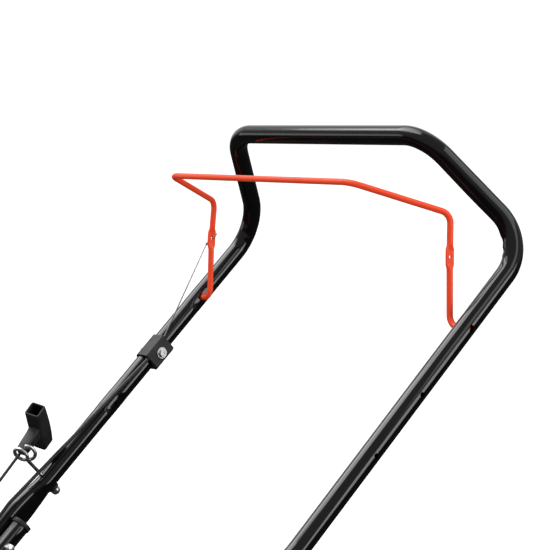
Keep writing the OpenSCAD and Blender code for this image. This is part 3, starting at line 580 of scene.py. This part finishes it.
# Both ends are pressed wider where they are bolted: where it is full, its ramp, share of the width, lift
CRIMP_S, CRIMP_RAMP, CRIMP_WIDER, CRIMP_LIFT = 550.0, 65.0, 0.38, 1.5
# How softly a flat runs into the round tube, the depth from which it is that soft, and how much wider
# the tube gets beside it for each millimetre pressed
FLAT_EDGE, FLAT_EDGE_DEPTH, FLAT_SPREAD = 3.2, 1.5, 0.012
# Wrinkles inside the leg's bend: their spacing, depth, and from where to where with what ramp
WRINKLE_S, WRINKLE_DEPTH, WRINKLED = 13.0, 0.45, (-30, 26, 18)
# Radii of the clip's and the spare hole on the right and the left leg, and of the fold pivot's hole
LEG_HOLES = {-1: (3.05, 2.75), 1: (3.25, 3.25)}
PIVOT_R = 4.1
# The fold slot's half width, and its start, end and step round the pivot
SLOT_HALF, SLOT_DEGREES = 4.3, (-6, 63, 4)


def handle_shape(path):
    """Presses the flats, the crimped ends and the bends' wrinkles into the tube."""
    down = np.array([-(p - on_leg(0, 0)) @ LEG_UP for p in path])

    def shape(i, off, tangent):
        p = path[i]
        side = 1 if p[0] > 0 else -1
        s = down[i]
        if abs(p[0]) < GRIP_X:
            return off
        inner = vec(-side, 0, 0) - tangent * float(vec(-side, 0, 0) @ tangent)
        inner = unit(inner)
        along = off @ inner
        depth = 0.0
        for top, bottom, d, fade in (RIGHT_FLATS if side < 0 else LEFT_FLATS):
            depth = max(depth, d * window(s, top, bottom, fade))
        if depth > 0:
            soft = FLAT_EDGE * min(1.0, depth / FLAT_EDGE_DEPTH)
            pressed = smooth_min(along, TUBE_R - depth + soft * 0.25, soft)
            off = off + inner * (pressed - along)[:, None]
            across = np.cross(inner, tangent)
            off = off + across * ((off @ across) * FLAT_SPREAD * depth)[:, None]
        crimp = smoothstep((s - CRIMP_S) / CRIMP_RAMP + 1)
        if crimp > 0:
            off = off + LEG_OUT * ((off @ LEG_OUT) * CRIMP_WIDER + CRIMP_LIFT)[:, None] * crimp
        # The bend's inside is slightly wrinkled
        to_centre = unit(vec(-side * 0.5, -0.55, -0.1))
        towards = np.clip((off @ to_centre) / TUBE_R, 0, 1) ** 3
        ripple = math.sin(2 * math.pi * s / WRINKLE_S) * window(s, *WRINKLED)
        off = off * (1 + towards * ripple * WRINKLE_DEPTH / TUBE_R)[:, None]
        return off
    return shape


# A cutter reaches this far to both sides of a leg's middle
CUT_HALF = 24.0


def leg_cutter(side, s, r):
    """A round cutter straight across a leg, s below the bend."""
    return prism("hole", circle_outline(r, 28), -CUT_HALF, CUT_HALF, on_leg(side * LEG_X, -s), X_AXES)


def slot_point(r, a):
    """A point of the fold slot, from straight down the leg towards its upper face."""
    return (-r * math.cos(a), r * math.sin(a))


def slot_cutter(side):
    """The arc round the pivot along which the lock bolt passes when the handle folds."""
    low, high = LOCK_S - FOLD_S - SLOT_HALF, LOCK_S - FOLD_S + SLOT_HALF
    arc = [math.radians(a) for a in range(*SLOT_DEGREES)]
    outline = [slot_point(high, a) for a in arc] + [slot_point(low, a) for a in reversed(arc)]
    return prism("slot", outline, -CUT_HALF, CUT_HALF, on_leg(side * LEG_X, -FOLD_S),
                 (LEG_UP, LEG_OUT, RIGHT))


handle_path = rounded_path(HANDLE_CORNERS, [BEND_R] * 4, step=3.0, arc_step=2.5)
handle = tube("upper_handle_tube", handle_path, TUBE_R, sides=72, shape=handle_shape(handle_path),
              first=vec(0, 1, 0), inner=TUBE_WALL)
cutters = []
for side in SIDES:
    clip_r, spare_r = LEG_HOLES[side]
    for s, r in ((BAIL_PIVOT_S, BAIL_R + 0.5), (CLIP_S, clip_r), (SPARE_S, spare_r), (FOLD_S, PIVOT_R)):
        cutters.append(leg_cutter(side, s, r))
    cutters.append(slot_cutter(side))
cutters.append(prism("guide", circle_outline(GUIDE_R + 0.3, 24), -CUT_HALF, CUT_HALF,
                     on_leg(-LEG_X, -GUIDE_S), (RIGHT, LEG_UP, LEG_OUT)))
cut(handle, cutters)
shade_smooth(handle, 40)
place(handle, "handle", BLACK, ["upper_handle"])

# ---------------------------------------------------------------- bail
BAIL_LEFT = [on_leg(-LEG_X - 5, -BAIL_PIVOT_S), on_leg(-254.4, -BAIL_PIVOT_S), LUG,
             on_leg(-249.3, -45.3, 95.6), on_leg(-191.9, -98.9, 199.9)]
MIRROR = vec(-1, 1, 1)
bail_corners = BAIL_LEFT + [p * MIRROR for p in reversed(BAIL_LEFT)]
BAIL_BENDS = [14, 60, 15, 24]
bail_path = rounded_path(bail_corners, BAIL_BENDS + BAIL_BENDS[::-1], step=2.5, arc_step=6)
# The lug: half its length, its ramp, its thickness and width as shares of the rod, and its eye
LUG_HALF, LUG_RAMP, LUG_THIN, LUG_WIDE, EYE_R = 9.0, 6.0, 0.38, 1.52, 2.2


def bail_shape(i, off, tangent):
    """Flattens the rod round each lug."""
    near = min(np.linalg.norm(bail_path[i] - LUG), np.linalg.norm(bail_path[i] - LUG * MIRROR))
    w = window(near, -LUG_HALF, LUG_HALF, LUG_RAMP)
    if w <= 0:
        return off
    thin = unit(RIGHT - tangent * tangent[0])
    wide = np.cross(thin, tangent)
    a, b = off @ thin, off @ wide
    flat = np.sign(a) * np.minimum(np.abs(a), BAIL_R * LUG_THIN)
    a2 = a * (1 - w) + flat * w
    b2 = b * (1 + (LUG_WIDE - 1) * w)
    return a2[:, None] * thin + b2[:, None] * wide


bail = tube("bail_rod", bail_path, BAIL_R, sides=32, shape=bail_shape, first=vec(0, 1, 0), round_end=0.4)
cut(bail, [prism("eye", circle_outline(EYE_R, 24), -3 * BAIL_R, 3 * BAIL_R, p, X_AXES)
           for p in (LUG, LUG * MIRROR)])
shade_smooth(bail, 40)
place(bail, "bail_lever", ORANGE, ["bail"])

# ---------------------------------------------------------------- bail wire
# Where the cable leaves the clip, from the leg's middle: towards the other leg and out of the upper face
CABLE_X, CABLE_N = 17 - LEG_X, 8.5
WIRE_FOOT = on_leg(CABLE_X, -CLIP_S + 12, CABLE_N)
hook_in = LUG + vec(-5.5, -0.6, -0.8)
# The wire's straight, as shares of the way to the hook. Two rings alone keep it straight when it stretches
WIRE_START, WIRE_END = 0.03, 0.86
wire_end = WIRE_FOOT + WIRE_END * (hook_in - WIRE_FOOT)
hook = rounded_path([wire_end, hook_in, LUG + vec(5.2, 0, 0), LUG + vec(8.4, 3.2, 7.4)], [1.6, 2.2],
                    step=8.0, arc_step=18)
wire_path = np.vstack([[WIRE_FOOT + WIRE_START * (hook_in - WIRE_FOOT)], hook])
wire = tube("bail_wire", wire_path, WIRE_R, sides=14, round_end=0.6)
ferrule_dir = unit(hook_in - WIRE_FOOT)
FERRULE_BACK = 9
ferrule_at = hook_in - ferrule_dir * FERRULE_BACK
ferrule = lathe("bail_wire_ferrule", [(1.0, -0.2), (1.6, 0.2), (1.6, 4.6), (1.0, 5.0)],
                ferrule_at, ferrule_dir, 20)
dress(wire, ZINC)
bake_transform(wire)
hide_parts("inner_wire")
place(ferrule, "bail_lever", ZINC)

# ---------------------------------------------------------------- cable clip on the right leg
CLIP_AXES = (RIGHT, LEG_OUT, LEG_UP)
CLIP_AT = on_leg(-LEG_X, -CLIP_S)
CLIP_HALF, CLIP_BACK_R, CLIP_FACE = 19.0, 15.2, 21.0
clip_outline = [(CLIP_BACK_R * math.cos(math.radians(a)), CLIP_BACK_R * math.sin(math.radians(a)))
                for a in range(88, 273, 8)]
clip_outline += [(13.0, -CLIP_BACK_R), (CLIP_FACE, -9.5), (CLIP_FACE, 13.6), (19.4, CLIP_BACK_R)]
clip = prism("cable_clip_block", clip_outline, -CLIP_HALF, CLIP_HALF, CLIP_AT, CLIP_AXES)
# The clip's bore for the tube, the cable's groove up to its stop, the wire's hole and the back's slit
CLIP_PAST, GROOVE_STOP, WIRE_HOLE_R = 30, 8, 1.4
cable_at = (CABLE_X + LEG_X, CABLE_N)
slit = [(-20, -3), (-20, 3), (-10, 3), (-10, -3)]
cut(clip, [prism(name, outline, low, high, CLIP_AT, CLIP_AXES) for name, outline, low, high in (
    ("bore", circle_outline(TUBE_R + 0.05, 56), -CLIP_PAST, CLIP_PAST),
    ("groove", circle_outline(CONDUIT_R + 0.15, 20, *cable_at), -CLIP_PAST, GROOVE_STOP),
    ("wire", circle_outline(WIRE_HOLE_R, 16, *cable_at), GROOVE_STOP - 2, CLIP_PAST),
    ("notch", slit, -CLIP_PAST, CLIP_PAST))])
soften(clip, 1.3, 3)
place(clip, "handle", PLASTIC, ["cable_clip"])

# An M6 bolt with a flanged, hollow-topped hexagon head on a plain washer
BOLT_R, BOLT_UNDER = 3.0, 50.5
WASHER_R, WASHER_T = 8.0, 1.5
HEAD_R, HEAD_TOP, HEAD_TURN = 5.6, 5.2, 12
STAMP_R, STAMP_FLOOR = 2.7, 4.5
bolt_at = CLIP_AT + RIGHT * CLIP_FACE
washer = lathe("clip_washer", [(BOLT_R + 0.1, 0), (WASHER_R - 0.4, 0), (WASHER_R, 0.35), (WASHER_R, 1.2),
                               (WASHER_R - 0.4, WASHER_T), (BOLT_R + 0.1, WASHER_T)], bolt_at, RIGHT, 48)
corners = [math.radians(a) for a in range(HEAD_TURN, HEAD_TURN + 360, 60)]
head = prism("head", [(HEAD_R * math.cos(a), HEAD_R * math.sin(a)) for a in corners], WASHER_T, HEAD_TOP,
             bolt_at, X_AXES)
cut(head, [prism("stamp", circle_outline(STAMP_R, 24), STAMP_FLOOR, 2 * STAMP_FLOOR, bolt_at, X_AXES)])
flange = lathe("flange", [(6.3, WASHER_T), (6.3, 2.0), (5.4, 2.7)], bolt_at, RIGHT, 40)
shank = lathe("shank", [(BOLT_R - 0.4, 0), (BOLT_R, 0.5), (BOLT_R, BOLT_UNDER + WASHER_T)],
              bolt_at - RIGHT * BOLT_UNDER, RIGHT, 24)
bolt = join("clip_bolt_and_washer", [washer, head, flange, shank])
soften(bolt, 0.5, 2)
place(bolt, "handle", ZINC, ["clip_bolt"])

# ---------------------------------------------------------------- outer cable
CONDUIT = [on_leg(x, s, n) for x, s, n in (
    (CABLE_X, -CLIP_S - 10, CABLE_N), (CABLE_X, -CLIP_S - 26, CABLE_N), (-268, -550, 30),
    (-270, -660, 21), (-262, -720, 30))]
CONDUIT += [vec(-190, -20, 446), vec(-90, -60, 440), vec(-54.8, -80, 412)]
CABLE_BENDS = [40, 60, 60, 60, 70, 60]
conduit_path = rounded_path(CONDUIT, CABLE_BENDS, step=6.0, arc_step=5)
conduit = tube("outer_cable", conduit_path, CONDUIT_R, sides=18)
dress(conduit, SHEATH)
# The cable flexes along this stretch of the leg when the handle folds
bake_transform(conduit)
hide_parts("conduit")

# ---------------------------------------------------------------- rope guide: a pigtail of wire
LOOP_P = unit(np.cross(ROPE_DIR, BACK))
LOOP_Q = np.cross(ROPE_DIR, LOOP_P)
# One turn of the coil: how far it climbs along the rope, how far back it starts, and its steps in degrees
COIL_PITCH, COIL_BACK = 5.4, 2.0
COIL_DEGREES = (-8, -329, -20)
guide_points = [on_leg(-LEG_X, -GUIDE_S, n) for n in (-20, -10, 0, 12, 24)]
LOOP_AT = ROPE_TO - VIEW_UP * 3.4 + VIEW_RIGHT * 0.8
for a in range(*COIL_DEGREES):
    t = math.radians(a)
    guide_points.append(LOOP_AT + LOOP_R * (math.cos(t) * LOOP_P + math.sin(t) * LOOP_Q)
                        - ROPE_DIR * (COIL_PITCH * a / 360 + COIL_BACK))
# The free end curls up beside the first turn: right, up and towards the camera's side of the loop
for right, up, near in ((15.4, -8.4, 1), (19.4, -4.4, 4), (20.2, 0.4, 7), (17.6, 5.2, 9),
                        (12.8, 8.6, 10), (7.4, 9.2, 10)):
    guide_points.append(ROPE_TO + VIEW_RIGHT * right + VIEW_UP * up + BACK * near)
guide = tube("rope_guide_wire", smooth_catmull(guide_points, 5), GUIDE_R, sides=22, round_end=0.5)
place(guide, "handle", ZINC, ["rope_guide"])

nut_axis = -LEG_OUT
nut_at = on_leg(-LEG_X, -GUIDE_S, -TUBE_R + 0.6)
collar = lathe("rope_guide_collar", [(3, 0), (8.2, 0), (8.2, 3.2), (7.4, 4.2), (3, 4.2)],
               nut_at, nut_axis, 40)
dome = lathe("rope_guide_dome_nut",
             [(3, 4.0), (6.2, 4.0), (6.4, 4.6), (6.4, 9.0), (6.1, 10.4), (5.2, 11.9), (3.6, 13.1),
              (1.6, 13.7), (0.3, 13.8)], nut_at, nut_axis, 36)
place(collar, "handle", PLASTIC)
place(dome, "handle", ZINC, ["rope_guide_nut"])

# ---------------------------------------------------------------- starter grip
# Where the rope leaves the grip, the stem's direction, and the bar's width, length and depth
GRIP_BASE = vec(-283.9, 200.9, 624.5)
GRIP_OUT = unit(vec(-0.258, 0.738, 0.624))
GRIP_SIDE = unit(np.cross(vec(0.48, -0.463, 0.746), GRIP_OUT))
GRIP_ALONG = np.cross(GRIP_OUT, GRIP_SIDE)
BAR_W, BAR_L, BAR_D = 21.6, 72.6, 22.4
STEM_LOW, STEM_HIGH = 3.0, 39.6
GRIP_WALL = 2.4


def grip_point(x, y, z):
    return GRIP_BASE + GRIP_SIDE * x + GRIP_ALONG * y + GRIP_OUT * z


# The bar's outer face bows out, its closed end narrows, and its ends lift off the stem a little
BAR_BOW, BAR_SLIM, BAR_NARROW, BAR_LIFT = 2.2, 0.6, 0.14, 0.5
BAR_ROUND, BAR_ROUND_LEAST = 3.2, 0.8


def bar_ring(y, inset):
    """A rounded rectangle across the bar at y, that much inside its outer face."""
    t = y / (BAR_L / 2)
    bow = BAR_BOW * (1 - t * t) - BAR_SLIM
    narrow = 1.0 - BAR_NARROW * max(0.0, -t) ** 2
    w = BAR_W * narrow - 2 * inset
    d = BAR_D + bow - 2 * inset
    mid = STEM_HIGH + inset + d / 2 + BAR_LIFT * t * t
    outline = rounded_rect(w, d, max(BAR_ROUND_LEAST, BAR_ROUND - inset), 4)
    return [grip_point(a, y, mid + b) for a, b in outline]


# The bar runs from its rounded closed end along the outside to the open mouth and back along the inside
half = BAR_L / 2
OUTER_RINGS, INNER_RINGS = 14, 8
closed_end = [(-half, 3.0), (-half + 0.5, 1.2), (-half + 2.2, 0)]
outside = [(-half + BAR_L * k / OUTER_RINGS, 0) for k in range(1, OUTER_RINGS)]
mouth = [(half - 1.0, 0), (half - 0.2, 0.5), (half, 1.1), (half - 0.2, 1.9), (half - 1.2, GRIP_WALL)]
inside = [(half - BAR_L * k / INNER_RINGS, GRIP_WALL) for k in range(1, INNER_RINGS)]
bar = loft("bar", [bar_ring(y, inset) for y, inset in closed_end + outside + mouth + inside])


def stem_ring(z, w, d, r):
    """A rounded rectangle across the stem."""
    return [grip_point(a, b, z) for a, b in rounded_rect(w, d, r, 4)]


# Height, width, depth and corner of the stem's sections
STEM = [(STEM_LOW, 12.2, 11.2, 2.2), (STEM_LOW + 0.8, 13.8, 12.8, 2.4), (STEM_LOW + 10, 15.0, 14.0, 2.4),
        (STEM_LOW + 20, 15.6, 15.0, 2.4), (STEM_HIGH - 6, 16.0, 16.6, 2.4),
        (STEM_HIGH - 1.5, 16.4, 19.0, 2.4), (STEM_HIGH + 1.6, 17.0, 22.0, 2.4)]
stem = loft("stem", [stem_ring(*section) for section in STEM])
RIB_HALF, RIB_LONG = 0.9, 18.0
rib = prism("rib", [(-RIB_HALF, -RIB_LONG), (RIB_HALF, -RIB_LONG), (RIB_HALF, 0), (-RIB_HALF, 0)], -8, 0.4,
            grip_point(0, 0, STEM_HIGH), (GRIP_SIDE, GRIP_ALONG, GRIP_OUT))
grip = join("starter_grip_t", [bar, stem, rib])
shade_smooth(grip, 38)
place(grip, "pull_grip", PLASTIC, ["starter_grip"])

# ---------------------------------------------------------------- starter rope
# Two runs that stretch between the bodies, and the knot inside the grip
lower_end = ROPE_TO - ROPE_DIR * 2
lower_rope = tube("starter_rope_run", [ROPE_FROM - ROPE_DIR * 6, lower_end], ROPE_R, sides=16)
dress(lower_rope, CORD)
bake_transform(lower_rope)
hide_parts("starter_rope_lower")
KNOT_AT = STEM_HIGH + GRIP_WALL
upper_end = GRIP_BASE + GRIP_OUT * KNOT_AT
upper_rope = tube("starter_rope_end", [ROPE_TO - ROPE_DIR * 1.5, upper_end], ROPE_R, sides=16)
dress(upper_rope, CORD)
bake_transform(upper_rope)
knot = lathe("starter_rope_knot",
             [(1.2, 0), (3.6, 0.6), (4.9, 2.2), (5.2, 4.0), (4.6, 6.0), (3.0, 7.4), (1.0, 8.0)],
             GRIP_BASE + GRIP_OUT * (KNOT_AT + 0.3), GRIP_OUT, 24)
place(knot, "pull_grip", CORD, ["starter_rope"])

# ---------------------------------------------------------------- studio
world = bpy.data.worlds.new("studio")
bpy.context.scene.world = world
world.use_nodes = True
wt = world.node_tree
wt.nodes.clear()
# How softly the sky turns brighter at the horizon
HORIZON = 0.12
# What reflections, diffuse light and the camera see below and above the horizon
REFLECTED, DIFFUSED, SEEN = (0.03, 0.32), (0.52, 1.0), (1.05, 1.05)
# Where the lit backdrop stands, seen from the handle, how wide its glow is and how bright
BACKDROP_AT, BACKDROP_EDGE, BACKDROP_GLOW = (-0.70, 0.30, 0.65), (0.68, 0.82), 0.40


def sky(low, high, glow=0.0):
    """A background dim below the horizon and brighter above it, with a glow over the backdrop."""
    turn = wt.nodes.new("ShaderNodeMapRange")
    turn.interpolation_type = "SMOOTHSTEP"
    turn.inputs["From Min"].default_value = -HORIZON
    turn.inputs["From Max"].default_value = 2 * HORIZON
    turn.inputs["To Min"].default_value = low
    turn.inputs["To Max"].default_value = high
    wt.links.new(direction.outputs["Z"], turn.inputs["Value"])
    facing = wt.nodes.new("ShaderNodeVectorMath")
    facing.operation = "DOT_PRODUCT"
    facing.inputs[1].default_value = BACKDROP_AT
    wt.links.new(sky_coord.outputs["Generated"], facing.inputs[0])
    spot = wt.nodes.new("ShaderNodeMapRange")
    spot.interpolation_type = "SMOOTHSTEP"
    spot.inputs["From Min"].default_value = BACKDROP_EDGE[0]
    spot.inputs["From Max"].default_value = BACKDROP_EDGE[1]
    spot.inputs["To Max"].default_value = glow
    wt.links.new(facing.outputs["Value"], spot.inputs["Value"])
    total = wt.nodes.new("ShaderNodeMath")
    wt.links.new(turn.outputs["Result"], total.inputs[0])
    wt.links.new(spot.outputs["Result"], total.inputs[1])
    shade = wt.nodes.new("ShaderNodeBackground")
    shade.inputs["Color"].default_value = (1, 1, 1, 1)
    wt.links.new(total.outputs["Value"], shade.inputs["Strength"])
    return shade.outputs["Background"]


sky_coord = wt.nodes.new("ShaderNodeTexCoord")
direction = wt.nodes.new("ShaderNodeSeparateXYZ")
wt.links.new(sky_coord.outputs["Generated"], direction.inputs["Vector"])
rays = wt.nodes.new("ShaderNodeLightPath")
first_mix = wt.nodes.new("ShaderNodeMixShader")
second_mix = wt.nodes.new("ShaderNodeMixShader")
world_out = wt.nodes.new("ShaderNodeOutputWorld")
wt.links.new(rays.outputs["Is Diffuse Ray"], first_mix.inputs["Fac"])
wt.links.new(sky(*REFLECTED, BACKDROP_GLOW), first_mix.inputs[1])
wt.links.new(sky(*DIFFUSED), first_mix.inputs[2])
wt.links.new(rays.outputs["Is Camera Ray"], second_mix.inputs["Fac"])
wt.links.new(first_mix.outputs["Shader"], second_mix.inputs[1])
wt.links.new(sky(*SEEN), second_mix.inputs[2])
wt.links.new(second_mix.outputs["Shader"], world_out.inputs["Surface"])

FLOOR_HALF = 60000.0
floor_corners = [(x * FLOOR_HALF, y * FLOOR_HALF, 0) for x, y in ((-1, -1), (1, -1), (1, 1), (-1, 1))]
floor = add_mesh("floor", floor_corners, [(0, 1, 2, 3)], smooth=False)
fm, ft, fb, fc = nodes_of("pale_floor")
ft.links.new(ramp(ft, noise(ft, fc, 3.0, 2.0), (0.90, 0.90, 0.90), (0.92, 0.92, 0.92)),
             fb.inputs["Base Color"])
fb.inputs["Roughness"].default_value = 0.9
fb.inputs["Specular IOR Level"].default_value = 0.0
dress(floor, fm)
floor.visible_glossy = False
floor.visible_diffuse = False


# What the lights face, and how far the panels stand from it
AIM, PANEL_FAR = (0.0, 0.35, 0.85), 4.0


def light(name, kind, toward, along, far, power):
    """A light that far away in a direction from the handle, facing it, its width along a direction."""
    data = bpy.data.lights.new(name, kind)
    data.energy = power
    ob = bpy.data.objects.new(name, data)
    bpy.context.scene.collection.objects.link(ob)
    z = Vector(toward).normalized()
    x = Vector(along)
    x = (x - z * x.dot(z)).normalized()
    turn = Matrix((x, z.cross(x), z)).transposed().to_4x4()
    ob.matrix_world = Matrix.Translation(Vector(AIM) + z * far) @ turn
    ob.visible_camera = False
    return data


def panel(name, toward, along, wide, high, radiance):
    """A soft panel of that angular half width and half height in degrees, and of that brightness."""
    width, height = (2 * PANEL_FAR * math.tan(math.radians(a)) for a in (wide, high))
    data = light(name, "AREA", toward, along, PANEL_FAR, radiance * math.pi * width * height)
    data.shape = "RECTANGLE"
    data.size, data.size_y = width, height


UPRIGHT, SIDEWAYS = (0, 0, 1), (1, 0, 0)
KEY_POWER, KEY_SPREAD = 1.3, math.radians(50)
light("key", "SUN", (-0.45, -0.25, 0.86), SIDEWAYS, 3.0, KEY_POWER).angle = KEY_SPREAD
panel("overhead", (-0.42, -0.29, 0.86), (0.85, -0.16, 0.35), 27, 8.5, 2.5)
panel("right_box", (0.90, 0.40, 0.07), UPRIGHT, 9, 13, 4.0)
panel("back_top", (0.62, 0.42, 0.62), (0.70, -0.55, 0.05), 28, 11, 1.5)
panel("left_low", (-0.79, -0.60, 0.08), (0.60, -0.79, 0.0), 14, 7, 1.1)

scene = bpy.context.scene
scene.view_settings.view_transform = "Standard"
scene.view_settings.look = "None"
